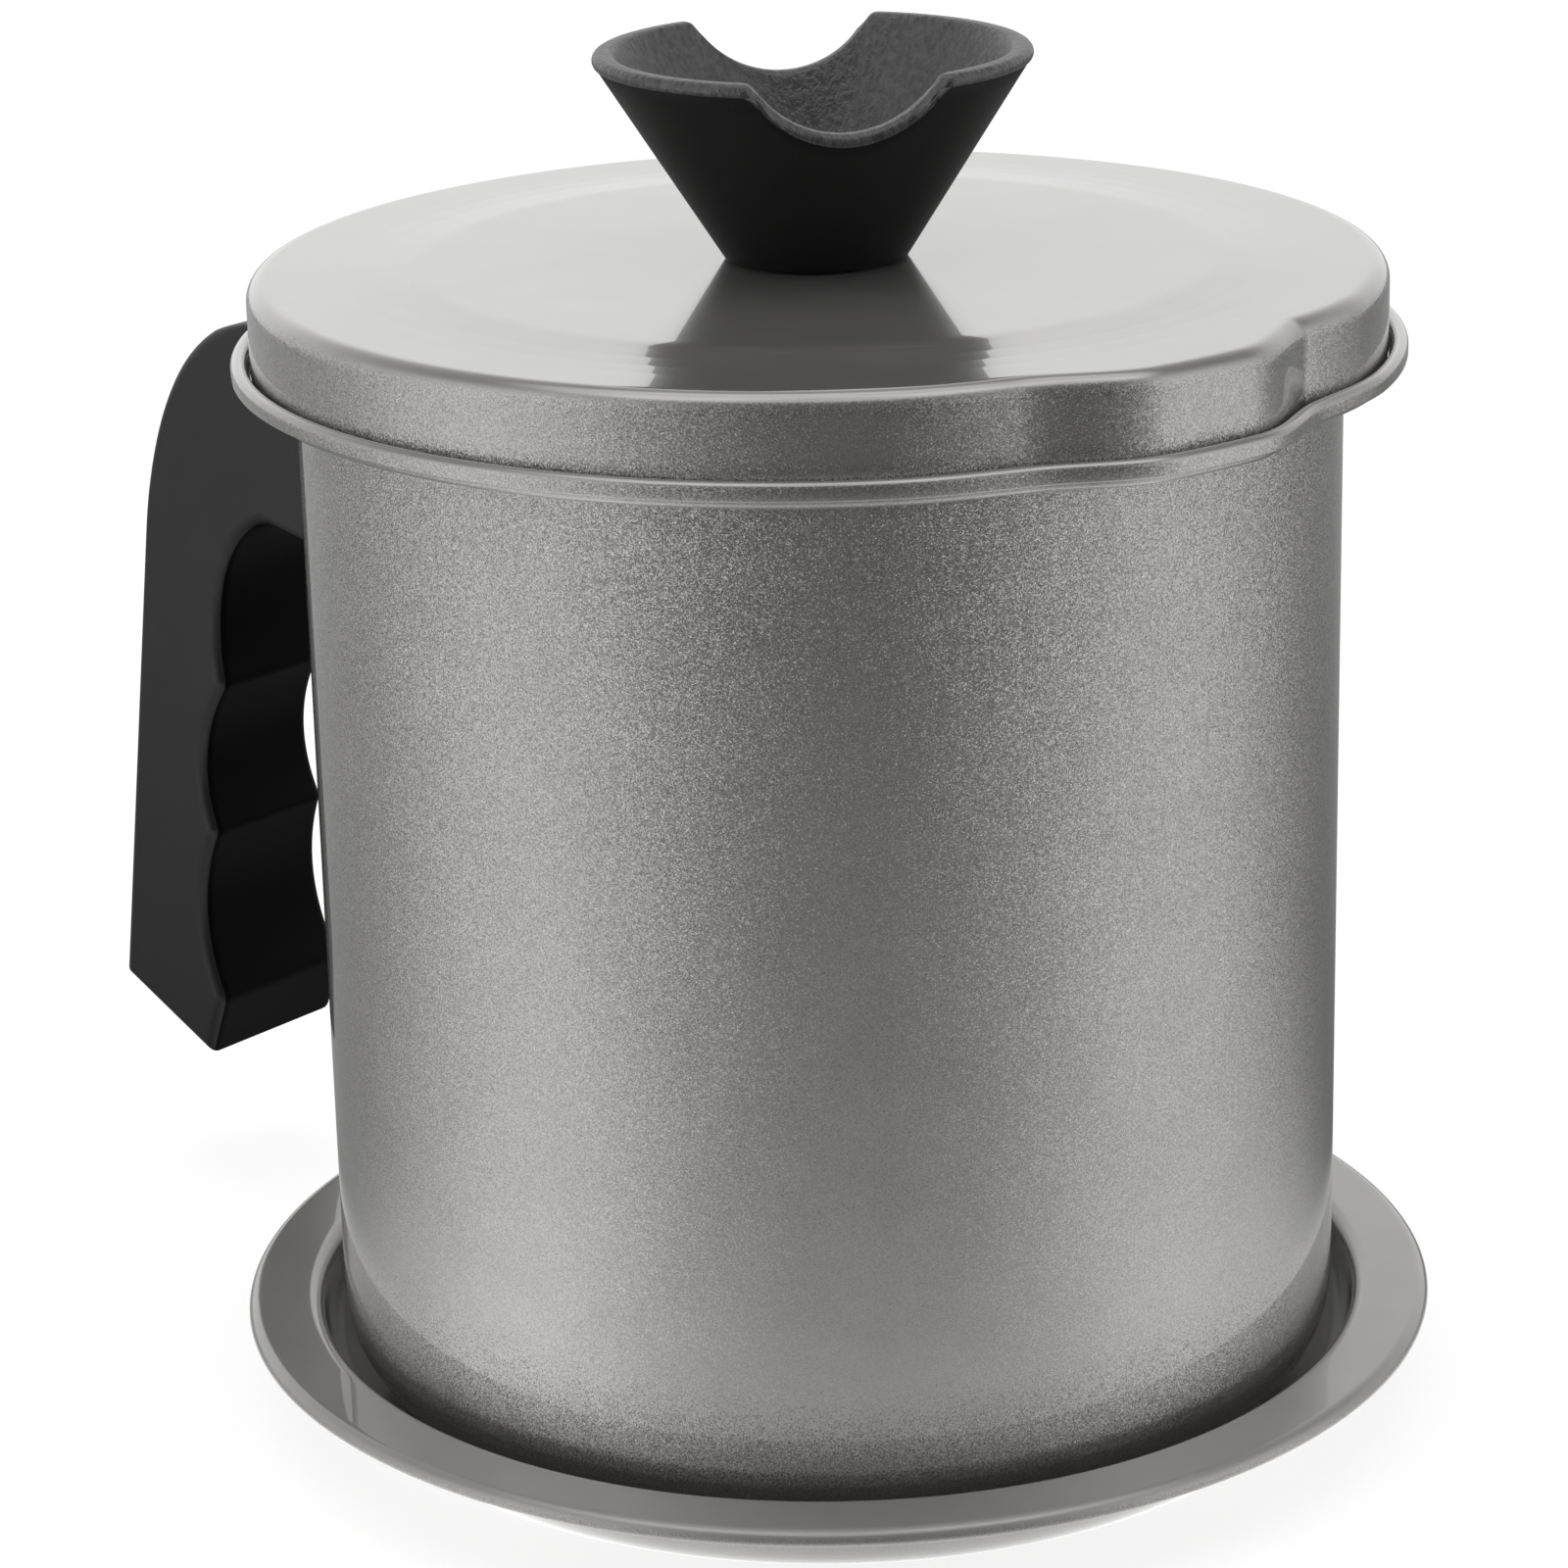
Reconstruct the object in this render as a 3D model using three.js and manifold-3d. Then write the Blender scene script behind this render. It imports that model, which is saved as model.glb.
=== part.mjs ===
// A grease pot with a strainer: a pressed tray, a deep-drawn pot with a pouring spout and a hook
// handle, a strainer basket that hangs on the pot's ledge, and a lid with a flared knob.
// Lengths are millimetres and angles are degrees. +Z is up, the origin is the centre of the tray's
// underside, and the handle points along -X.

import * as THREE from 'three';
import { mergeVertices, toCreasedNormals } from 'three/addons/utils/BufferGeometryUtils.js';
import Module from 'manifold-3d';

const wasm = await Module();
wasm.setup();

// Fits
const clearance = 0.3;          // gap between pieces that rest on or slide in each other
const overrun = 2;              // how far a cutting body runs past the face it opens

// Pot
const potRadius = 62.5;
const potHeight = 129.5;        // from the pot's underside to the top of its ledge
const potSheet = 0.7;
const potBottomBend = 12;
const neckBend = 1.6;           // bend between the wall and the ledge
const ledgeWidth = 5.6;         // from the wall's outside to the inside of the bead
const beadHeight = 2.7;         // from the ledge's top to the bead's top
const beadWidth = 1.9;
const beadReturn = 1.9;         // how far the rolled edge comes back down outside
const beadBend = 0.8;

// Pouring spout, pressed into the neck, the flange and the lid's skirt alike
const spoutAngle = -13;         // from +X
const spoutProud = 2.6;
const spoutDip = 1.1;           // how far the neck draws in beside the spout
const spoutFlatHalf = 5;        // half angles of the spout's front and of its whole width
const spoutHalf = 18;
const spoutDipHalf = 13;

// Tray
const traySheet = 0.8;
const trayHeight = 12;
const wellGap = 3.2;            // room between the pot and the lip of the well
const wellDraft = 1.6;          // how much the well narrows from its lip to its foot
const wellFootBend = 8.5;
const wellLipBend = 1.5;
const trayRimWidth = 9;
const trayEdgeDrop = 1.8;
const trayEdgeBend = 1.2;

// Strainer
const strainerSheet = 0.5;
const strainerDepth = 24;       // from the top of its flange to its underside
const strainerGap = 1.1;        // between the basket's wall and the pot's inside
const strainerBend = 1.2;
const strainerLip = 4.5;        // width of the lip that carries the mesh
const flangeGap = 0.5;          // between the flange and the bead
const meshThickness = 0.9;
const meshPitch = 9;
const meshWire = 1.4;
const ringThickness = 0.8;
const ringWidth = 3.6;

// Lid
const lidSheet = 0.6;
const skirtGap = 0.4;           // between the skirt and the bead
const skirtHeight = 10.6;       // from the skirt's lower edge to the shoulder
const shoulderBend = 2;
const lidCrown = 0.4;           // how far the ring round the middle stands above the shoulder
const lidDish = 0.3;            // how far the middle sinks below that ring
const crownRadius = 47.5;
const crownSlope = 7;           // width of the slope round the ring
const lidReach = 8;             // how far inward from the skirt the spout shapes the lid

// Knob
const knobHeight = 24.8;
const knobFootRadius = 10.9;
const knobTopRadius = 26.6;
const knobWall = 2.5;
const knobFloor = 9;            // thickness of the floor of its cup
const knobBowlBend = 5;
const knobRimBevel = 0.8;
const notchRadius = 12.5;
const notchDepth = 6.4;
const notchAngle = -40;         // from +X

// Screws, washers and the threaded insert
const screwRadius = 2.1;
const screwHeadRadius = 4.2;
const screwHeadHeight = 2.6;
const screwHeadCrown = 0.6;
const slotWidth = 1;
const slotDepth = 1.1;
const slotLength = 4.8;
const washerRadius = 6;
const handleWasherRadius = 4.8;
const washerThickness = 1;
const holeGap = 0.6;            // between a screw and the hole it passes
const insertRadius = 4.2;
const insertHeight = 7.2;
const insertGroove = 0.5;
const threadEngagement = 6.4;

// Handle bracket
const bracketSheet = 1.5;
const bracketWidth = 10;
const bracketHeight = 20;
const tongueWidth = 8;
const tongueHeight = 10;
const tongueReach = 17;         // from the pot's wall to the tongue's end
const tappedDepth = 10;

// Handle. Reaches are measured outward from the pot's wall, drops downward from the ledge.
const handleWidth = 19.1;       // width half way down
const handleFlareShare = 0.09;  // how much wider it grows for each length further down
const handleEdge = 1.8;         // rounding of its edges
const armInset = 8;             // how far its raw arm runs past the wall before it is cut to it
const armTopDrop = 5;
const armRootDrop = 39.4;       // underside of the arm at the pot
const armCornerReach = 27.3;    // corner between the arm's underside and the grip
const armCornerDrop = 33.9;
const shoulderReach = 32.5;     // where the top starts to curve down
const shoulderDrop = 7.6;
const shoulderPullReach = 46.7; // the point that the curve leans towards
const shoulderPullDrop = 11.9;
const gripTopReach = 50.3;      // where the straight outer face starts
const gripTopDrop = 35.8;
const gripFootReach = 57;       // lower outer corner
const gripFootDrop = 102.7;
const footReach = 39.8;         // lower inner corner
const footDrop = 111.2;
const footTopReach = 36.9;      // where the lowest groove meets the foot
const footTopDrop = 102.4;
const lowCuspReach = 37.5;      // cusp between the second and third finger grooves
const lowCuspDrop = 78.6;
const highCuspReach = 35.3;     // cusp between the first and second
const highCuspDrop = 57.7;
const grooveDepth = 3;
const topGroovePull = 2;        // how far the first groove swells past its cusp
const topGrooveFall = 8.1;
const topGrooveRise = 20.6;
const screwDrop = 22.6;
const counterboreFloor = 36.5;  // reach of the face that the handle's washer bears on
const counterboreGap = 0.6;

// Fineness
const turnSegments = 60;
const smallSegments = 20;
const gripCurveSegments = 9;     // per curve of the handle's outline
const gripBevelSegments = 3;
const bendError = 0.12;         // how far a bend's chords may stray from its arc
const creaseAngle = 35;         // faces that meet at more than this keep a sharp edge

// Heights and radii that several pieces share
const potBase = traySheet + clearance;
const ledgeTop = potBase + potHeight;
const neckRadius = potRadius + ledgeWidth;
const flangeTop = ledgeTop + clearance + strainerSheet;
const skirtBottom = flangeTop + clearance;
const skirtRadius = neckRadius - skirtGap;
const shoulderTop = skirtBottom + skirtHeight;
const crownTop = shoulderTop + lidCrown;
const lidMiddle = crownTop - lidDish;
const strainerWall = potRadius - potSheet - strainerGap;
const strainerBase = flangeTop - strainerDepth;
const meshRadius = strainerWall - strainerSheet - strainerBend;
const meshBase = strainerBase + strainerSheet + clearance;
const knobBase = lidMiddle + clearance;
const screwHeight = ledgeTop - screwDrop;

const radians = THREE.MathUtils.degToRad;
const degrees = THREE.MathUtils.radToDeg;
const point = (r, z) => new THREE.Vector2(r, z);

// Straight runs whose corners are rounded, each to its own bend radius
function bentPath(corners) {
  const path = [];
  corners.forEach(([r, z, bend], i) => {
    const corner = point(r, z);
    if (!bend) {
      path.push(corner);
      return;
    }
    const back = point(corners[i - 1][0], corners[i - 1][1]).sub(corner).normalize();
    const on = point(corners[i + 1][0], corners[i + 1][1]).sub(corner).normalize();
    const half = back.angleTo(on) / 2;
    const centre = back.clone().add(on).setLength(bend / Math.sin(half)).add(corner);
    const start = back.clone().setLength(bend / Math.tan(half)).add(corner);
    const turn = (Math.PI - 2 * half) * Math.sign(on.cross(back));
    const steps = Math.ceil(Math.abs(turn) / Math.acos(1 - bendError / bend) / 2);
    for (let step = 0; step <= steps; step += 1) {
      path.push(start.clone().rotateAround(centre, turn * step / steps));
    }
  });
  return path;
}

// The outline of a sheet of even thickness whose middle follows a path
function sheetOutline(path, thickness) {
  const sides = [[], []];
  path.forEach((place, i) => {
    const back = place.clone().sub(path[Math.max(i - 1, 0)]).normalize();
    const on = path[Math.min(i + 1, path.length - 1)].clone().sub(place).normalize();
    const along = back.clone().add(on).normalize();
    const straight = back.length() > 0 ? back : on;
    const reach = thickness / 2 / along.dot(straight);
    const across = point(-along.y, along.x).multiplyScalar(reach);
    sides[0].push(place.clone().add(across));
    sides[1].unshift(place.clone().sub(across));
  });
  return sides.flat();
}

// A body turned about Z from an outline of radius and height. An outline that doesn't start on the
// axis closes on itself.
function turned(outline, segments = turnSegments) {
  const ring = outline[0].x > 0;
  const profile = ring ? [...outline, outline[0]] : [...outline];
  if (THREE.ShapeUtils.area(profile) < 0) profile.reverse();
  const body = new THREE.LatheGeometry(profile, segments);
  body.rotateX(Math.PI / 2);
  return body;
}

const turnedSheet = (corners, thickness) => turned(sheetOutline(bentPath(corners), thickness));

const disc = (radius, base, top) => [point(0, base), point(radius, base), point(radius, top), point(0, top)];

const washerOutline = (inner, outer, base, top) => [
  point(inner, base), point(outer, base), point(outer, top), point(inner, top),
];

// Applies a change to every vertex of a body
function reshape(body, change) {
  const places = body.attributes.position;
  const place = new THREE.Vector3();
  for (let i = 0; i < places.count; i += 1) {
    change(place.fromBufferAttribute(places, i));
    places.setXYZ(i, place.x, place.y, place.z);
  }
  return body;
}

// How far the neck stands out of round at an angle: out at the spout, in beside it
function spoutReach(angle) {
  const turn = THREE.MathUtils.euclideanModulo(angle - spoutAngle + 180, 360) - 180;
  const offset = Math.abs(turn);
  const lip = 1 - THREE.MathUtils.smoothstep(offset, spoutFlatHalf, spoutHalf);
  const dip = 1 - THREE.MathUtils.smoothstep(Math.abs(offset - spoutHalf), 0, spoutDipHalf);
  return spoutProud * lip - spoutDip * dip;
}

// Carries the spout's shape into a body, fully at one radius and not at all inside another
function pressSpout(body, innerRadius, outerRadius) {
  return reshape(body, (place) => {
    const radius = Math.hypot(place.x, place.y);
    const share = THREE.MathUtils.smoothstep(radius, innerRadius, outerRadius);
    if (share === 0) return;
    const reach = 1 + share * spoutReach(degrees(Math.atan2(place.y, place.x))) / radius;
    place.set(place.x * reach, place.y * reach, place.z);
  });
}

// A closed body as a solid that can be joined and cut, and back again
function solid(body) {
  const bare = body.clone();
  bare.deleteAttribute('normal');
  bare.deleteAttribute('uv');
  const merged = mergeVertices(bare);
  return new wasm.Manifold(new wasm.Mesh({
    numProp: 3,
    vertProperties: new Float32Array(merged.attributes.position.array),
    triVerts: new Uint32Array(merged.index.array),
  }));
}

function fromSolid(shape) {
  const mesh = shape.getMesh();
  const body = new THREE.BufferGeometry();
  body.setAttribute('position', new THREE.BufferAttribute(new Float32Array(mesh.vertProperties), 3));
  body.setIndex(new THREE.BufferAttribute(new Uint32Array(mesh.triVerts), 1));
  return toCreasedNormals(body, radians(creaseAngle));
}

const cut = (body, ...tools) => (
  fromSolid(tools.reduce((left, tool) => left.subtract(solid(tool)), solid(body)))
);
const join = (body, ...more) => (
  fromSolid(more.reduce((whole, piece) => whole.add(solid(piece)), solid(body)))
);

// A round bar or a block that runs outward from the pot's wall towards the handle, along -X
function outwardBar(radius, from, to, height) {
  const bar = new THREE.CylinderGeometry(radius, radius, to - from, smallSegments);
  bar.rotateZ(Math.PI / 2);
  return bar.translate(-potRadius - (from + to) / 2, 0, height);
}

function outwardBlock(width, tall, from, to, height) {
  const block = new THREE.BoxGeometry(to - from, width, tall);
  return block.translate(-potRadius - (from + to) / 2, 0, height);
}

// A pan head screw along +Z with its head's bearing face at zero
function screw(length) {
  const edge = screwHeadRadius - screwHeadCrown;
  const body = turned([
    point(0, length), point(screwRadius, length), point(screwRadius, 0), point(screwHeadRadius, 0),
    point(screwHeadRadius, screwHeadCrown - screwHeadHeight), point(edge, -screwHeadHeight),
    point(0, -screwHeadHeight),
  ], smallSegments);
  const slot = new THREE.BoxGeometry(slotLength, slotWidth, slotDepth + overrun);
  slot.translate(0, 0, (slotDepth - overrun) / 2 - screwHeadHeight);
  return cut(body, slot, slot.clone().rotateZ(Math.PI / 2));
}

const screwHoleRadius = screwRadius + holeGap;
const threadRadius = screwRadius + clearance;

function trayBody() {
  const middle = traySheet / 2;
  const lip = potRadius + wellGap;
  const foot = lip - wellDraft + middle;
  const edge = lip + trayRimWidth - middle;
  const rim = trayHeight - middle;
  return turnedSheet([
    [0, middle],
    [foot, middle, wellFootBend],
    [lip, rim, wellLipBend],
    [edge, rim, trayEdgeBend],
    [edge, trayHeight - trayEdgeDrop],
  ], traySheet);
}

function potBody() {
  const middle = potSheet / 2;
  const wall = potRadius - middle;
  const base = potBase + middle;
  const ledge = ledgeTop - middle;
  const upright = neckRadius + middle;
  const outside = neckRadius + beadWidth - middle;
  const crest = ledgeTop + beadHeight - middle;
  const body = turnedSheet([
    [0, base],
    [wall, base, potBottomBend],
    [wall, ledge, neckBend],
    [upright, ledge, beadBend],
    [upright, crest, (outside - upright) / 2],
    [outside, crest, (outside - upright) / 2],
    [outside, crest - beadReturn],
  ], potSheet);
  return pressSpout(body, potRadius, neckRadius);
}

function strainerCup() {
  const middle = strainerSheet / 2;
  const wall = strainerWall - middle;
  const flange = flangeTop - middle;
  const body = turnedSheet([
    [strainerWall - strainerSheet - strainerLip, strainerBase + middle],
    [wall, strainerBase + middle, strainerBend],
    [wall, flange, strainerBend],
    [neckRadius - flangeGap, flange],
  ], strainerSheet);
  return pressSpout(body, potRadius, neckRadius - flangeGap);
}

// Square gaps of the mesh, each as the centre of a cell that lies clear of the ring
function meshCells() {
  const reach = meshRadius - ringWidth - meshPitch / 2;
  const count = Math.floor(reach / meshPitch);
  const cells = [];
  for (let row = -count; row <= count; row += 1) {
    for (let column = -count; column <= count; column += 1) {
      const cell = point(column, row).multiplyScalar(meshPitch);
      if (cell.length() < reach) cells.push(cell);
    }
  }
  return cells;
}

function strainerMesh() {
  const plate = turned(disc(meshRadius, meshBase, meshBase + meshThickness));
  const gap = meshPitch - meshWire;
  const gaps = meshCells().map((cell) => (
    new THREE.BoxGeometry(gap, gap, meshThickness + overrun).translate(cell.x, cell.y, meshBase)
  ));
  return cut(plate, ...gaps);
}

function strainerRing() {
  const base = meshBase + meshThickness + clearance;
  return turned(washerOutline(meshRadius - ringWidth, meshRadius, base, base + ringThickness));
}

function lidShell() {
  const middle = lidSheet / 2;
  const skirt = skirtRadius - middle;
  const shoulder = shoulderTop - middle;
  const body = turnedSheet([
    [screwHoleRadius, lidMiddle - middle],
    [crownRadius, crownTop - middle],
    [crownRadius + crownSlope, shoulder],
    [skirt, shoulder, shoulderBend],
    [skirt, skirtBottom],
  ], lidSheet);
  return pressSpout(body, skirtRadius - lidReach, skirtRadius - shoulderBend);
}

function lidKnob() {
  const top = knobBase + knobHeight;
  const flare = (knobTopRadius - knobFootRadius) / (knobHeight - knobRimBevel);
  const floor = knobBase + knobFloor;
  const wallRun = knobWall * Math.hypot(1, flare);
  const bowl = knobFootRadius + flare * knobFloor - wallRun;
  const pocket = insertRadius + clearance;
  const ceiling = knobBase + insertHeight + clearance;
  const rimDrop = knobRimBevel / 2;
  const inside = bentPath([
    [knobTopRadius - wallRun, top - knobRimBevel],
    [bowl, floor, knobBowlBend],
    [0, floor],
  ]);
  const cup = turned([
    point(0, ceiling), point(pocket, ceiling), point(pocket, knobBase), point(knobFootRadius, knobBase),
    point(knobTopRadius, top - knobRimBevel),
    point(knobTopRadius - rimDrop, top),
    point(knobTopRadius - wallRun + rimDrop, top),
    ...inside,
  ], turnSegments);
  const across = 2 * (knobTopRadius + overrun);
  const notch = new THREE.CylinderGeometry(notchRadius, notchRadius, across, turnSegments);
  notch.rotateZ(Math.PI / 2).rotateZ(radians(notchAngle));
  notch.translate(0, 0, top - notchDepth + notchRadius);
  return cut(cup, notch);
}

function knobInsert() {
  const top = knobBase + insertHeight;
  const middle = knobBase + insertHeight / 2;
  return turned([
    point(threadRadius, knobBase), point(insertRadius, knobBase), point(insertRadius, middle - insertGroove),
    point(insertRadius - insertGroove, middle), point(insertRadius, middle + insertGroove),
    point(insertRadius, top), point(threadRadius, top),
  ], smallSegments);
}

const knobWasherTop = lidMiddle - lidSheet - clearance;
const knobScrewSeat = knobWasherTop - washerThickness - clearance;

function knobWasher() {
  const base = knobWasherTop - washerThickness;
  return turned(washerOutline(screwHoleRadius, washerRadius, base, knobWasherTop), smallSegments);
}

const knobScrew = () => screw(knobBase + threadEngagement - knobScrewSeat).translate(0, 0, knobScrewSeat);

// A plate that follows the pot's wall, standing off it by one gap and as thick as asked
function wallPlate(gap, thickness, width, tall) {
  const inner = potRadius + gap;
  const outer = inner + thickness;
  const half = Math.asin(width / 2 / inner);
  const outline = new THREE.Shape();
  outline.absarc(0, 0, outer, Math.PI - half, Math.PI + half);
  outline.absarc(0, 0, inner, Math.PI + half, Math.PI - half, true);
  const plate = new THREE.ExtrudeGeometry(outline, {
    depth: tall, bevelEnabled: false, curveSegments: Math.ceil(smallSegments / 8),
  });
  return plate.translate(0, 0, screwHeight - tall / 2);
}

function handleBracket() {
  const plate = wallPlate(clearance, bracketSheet, bracketWidth, bracketHeight);
  const root = clearance + bracketSheet / 2;
  const tongue = outwardBlock(tongueWidth, tongueHeight, root, tongueReach, screwHeight);
  const bore = outwardBar(threadRadius, tongueReach - tappedDepth, tongueReach + overrun, screwHeight);
  return cut(join(plate, tongue), bore);
}

// The handle's side view, as reach from the pot's wall against height
function handleOutline() {
  const place = (reach, drop) => [potRadius + reach, ledgeTop - drop];
  const outline = new THREE.Shape();
  const grooves = [
    [footTopReach, footTopDrop, lowCuspReach, lowCuspDrop],
    [lowCuspReach, lowCuspDrop, highCuspReach, highCuspDrop],
  ];
  outline.moveTo(...place(-armInset, armTopDrop));
  outline.lineTo(...place(-armInset, armRootDrop));
  outline.lineTo(...place(0, armRootDrop));
  outline.lineTo(...place(armCornerReach, armCornerDrop));
  outline.bezierCurveTo(
    ...place(highCuspReach + topGroovePull / 2, highCuspDrop - topGrooveRise),
    ...place(highCuspReach + topGroovePull, highCuspDrop - topGrooveFall),
    ...place(highCuspReach, highCuspDrop),
  );
  grooves.reverse().forEach(([lowReach, lowDrop, highReach, highDrop]) => {
    const middleReach = (lowReach + highReach) / 2 + 2 * grooveDepth;
    outline.quadraticCurveTo(...place(middleReach, (lowDrop + highDrop) / 2), ...place(lowReach, lowDrop));
  });
  outline.lineTo(...place(footReach, footDrop));
  outline.lineTo(...place(gripFootReach, gripFootDrop));
  outline.lineTo(...place(gripTopReach, gripTopDrop));
  outline.quadraticCurveTo(
    ...place(shoulderPullReach, shoulderPullDrop), ...place(shoulderReach, shoulderDrop),
  );
  return outline;
}

function handleGrip() {
  const body = new THREE.ExtrudeGeometry(handleOutline(), {
    depth: handleWidth - 2 * handleEdge,
    bevelThickness: handleEdge,
    bevelSize: handleEdge,
    bevelOffset: -handleEdge,
    bevelSegments: gripBevelSegments,
    curveSegments: gripCurveSegments,
  });
  body.translate(0, 0, handleEdge - handleWidth / 2);
  const halfWay = ledgeTop - (armTopDrop + footDrop) / 2;
  reshape(body, (place) => {
    const share = 1 + handleFlareShare * (halfWay - place.y) / handleWidth;
    place.set(-place.x, place.z * share, place.y);
  });
  const pot = turned(disc(potRadius + clearance, 0, ledgeTop + overrun));
  const room = 2 * clearance;
  const plate = wallPlate(0, bracketSheet + room, bracketWidth + room, bracketHeight + room);
  const pocket = outwardBlock(
    tongueWidth + room, tongueHeight + room, 0, tongueReach + clearance, screwHeight,
  );
  const hole = outwardBar(screwHoleRadius, tongueReach, counterboreFloor + overrun, screwHeight);
  const washerRoom = handleWasherRadius + counterboreGap;
  const counterbore = outwardBar(washerRoom, counterboreFloor, gripFootReach, screwHeight);
  return cut(body, pot, plate, pocket, hole, counterbore);
}

const handleScrewSeat = counterboreFloor + clearance + washerThickness + clearance;

function handleWasher() {
  const from = counterboreFloor + clearance;
  const body = turned(washerOutline(screwHoleRadius, handleWasherRadius, 0, washerThickness), smallSegments);
  return body.rotateY(-Math.PI / 2).translate(-potRadius - from, 0, screwHeight);
}

function handleScrew() {
  const tip = tongueReach - tappedDepth + clearance;
  const body = screw(handleScrewSeat - tip).rotateY(Math.PI / 2);
  return body.translate(-potRadius - handleScrewSeat, 0, screwHeight);
}

const paint = (color, roughness, metalness) => (
  new THREE.MeshStandardMaterial({ color, roughness, metalness })
);
const flakePaint = paint(0x8d8d8b, 0.42, 0.55);
const trayPaint = paint(0x92918f, 0.38, 0.5);
const blackPlastic = paint(0x1b1b1c, 0.5, 0);
const steel = paint(0xb9bbbd, 0.3, 1);
const brass = paint(0xb5965a, 0.35, 1);

const named = (name, body, material) => Object.assign(new THREE.Mesh(body, material), { name });

const greasePot = new THREE.Group();
greasePot.add(
  named('drip_tray', trayBody(), trayPaint),
  named('pot_body', potBody(), flakePaint),
  named('handle_bracket', handleBracket(), steel),
  named('handle_grip', handleGrip(), blackPlastic),
  named('handle_washer', handleWasher(), steel),
  named('handle_screw', handleScrew(), steel),
  named('strainer_cup', strainerCup(), steel),
  named('strainer_mesh', strainerMesh(), steel),
  named('strainer_ring', strainerRing(), steel),
  named('lid_shell', lidShell(), flakePaint),
  named('lid_knob', lidKnob(), blackPlastic),
  named('knob_insert', knobInsert(), brass),
  named('knob_washer', knobWasher(), steel),
  named('knob_screw', knobScrew(), steel),
);

export default greasePot;
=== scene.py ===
import math

import bmesh
import bpy
from mathutils import Matrix, Vector

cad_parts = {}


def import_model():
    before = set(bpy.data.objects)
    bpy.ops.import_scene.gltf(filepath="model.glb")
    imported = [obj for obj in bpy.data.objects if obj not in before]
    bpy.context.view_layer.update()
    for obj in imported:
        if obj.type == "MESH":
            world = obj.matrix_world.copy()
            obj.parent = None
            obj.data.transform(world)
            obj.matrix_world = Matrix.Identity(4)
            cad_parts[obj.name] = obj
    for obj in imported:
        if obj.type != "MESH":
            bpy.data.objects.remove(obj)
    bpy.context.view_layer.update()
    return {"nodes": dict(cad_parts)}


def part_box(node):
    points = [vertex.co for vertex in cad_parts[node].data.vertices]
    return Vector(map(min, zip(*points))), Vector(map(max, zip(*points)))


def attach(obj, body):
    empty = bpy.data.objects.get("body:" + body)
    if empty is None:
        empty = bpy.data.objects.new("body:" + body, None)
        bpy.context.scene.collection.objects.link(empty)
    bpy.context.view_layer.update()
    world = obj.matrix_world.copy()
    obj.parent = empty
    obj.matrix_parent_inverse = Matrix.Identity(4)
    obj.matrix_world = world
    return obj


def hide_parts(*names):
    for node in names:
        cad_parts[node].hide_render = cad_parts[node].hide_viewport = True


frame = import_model()

# A grease pot in a plain studio: flake-painted pot and lid, a satin tray, a black hook handle and
# cup knob, and a steel strainer inside. Lengths are metres, angles degrees, +Z is up, and the
# handle points along -X.

MM = 0.001
TINY = 1e-7
GAP = 0.3 * MM

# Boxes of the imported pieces
_, tray_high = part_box("drip_tray")
pot_low, pot_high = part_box("pot_body")
cup_low, cup_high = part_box("strainer_cup")
mesh_low, mesh_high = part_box("strainer_mesh")
ring_low, ring_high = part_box("strainer_ring")
lid_low, lid_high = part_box("lid_shell")
knob_low, knob_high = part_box("lid_knob")
knob_screw_low, knob_screw_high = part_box("knob_screw")
knob_washer_low, knob_washer_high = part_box("knob_washer")
grip_screw_low, grip_screw_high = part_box("handle_screw")
grip_washer_low, grip_washer_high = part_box("handle_washer")

# Pot
POT_SHEET = 0.7 * MM
BEAD_WIDTH = 1.9 * MM
BEAD_HEIGHT = 2.7 * MM
BEAD_RETURN = 1.9 * MM
BEAD_BEND = 0.8 * MM
LEDGE_WIDTH = 5.6 * MM
NECK_BEND = 1.2 * MM
POT_BOTTOM_BEND = 12 * MM
neck_radius = -pot_low.x - BEAD_WIDTH
pot_radius = neck_radius - LEDGE_WIDTH
pot_base = pot_low.z
ledge_top = pot_high.z - BEAD_HEIGHT

# Pouring spout, in degrees and lengths. One side is softer: it dips less, and its crease is wider and
# has only a share of the other's depth.
SPOUT_ANGLE = -13
SPOUT_PROUD = 2.6 * MM
SPOUT_DIP = 1.1 * MM
SPOUT_SOFT_DIP = 0.65 * MM
SPOUT_FLAT_HALF = 5
SPOUT_HALF = 18
SPOUT_DIP_HALF = 13
CREASE_DEPTH = 0.4 * MM
CREASE_HALF = 1.6
SOFT_CREASE = 0.3

# Tray
TRAY_SHEET = 0.8 * MM
TRAY_RIM_WIDTH = 9 * MM
TRAY_EDGE_DROP = 1.8 * MM
TRAY_EDGE_BEND = 1.2 * MM
WELL_DRAFT = 1.6 * MM
WELL_FOOT_BEND = 8.5 * MM
WELL_LIP_BEND = 1.5 * MM

# Strainer
CUP_SHEET = 0.5 * MM
CUP_GAP = 1.1 * MM
CUP_BEND = 1.2 * MM
CUP_LIP = 4.5 * MM
FLANGE_GAP = 0.5 * MM
RING_WIDTH = 3.6 * MM
WIRE_PITCH = 2.4 * MM
WIRE_THICKNESS = 0.42 * MM
WIRE_SIDES = 4
WIRE_STEPS = 4
WIRE_SHARP = 100
WIRE_INSET = RING_WIDTH / 3

# Lid
LID_SHEET = 0.6 * MM
SHOULDER_BEND = 2 * MM
LID_CROWN = 0.4 * MM
LID_DISH = 0.3 * MM
CROWN_RADIUS = 47.5 * MM
CROWN_SLOPE = 7 * MM
CROWN_BEND = 36 * MM
SLOPE_BEND = 170 * MM
LID_REACH = 8 * MM

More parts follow.
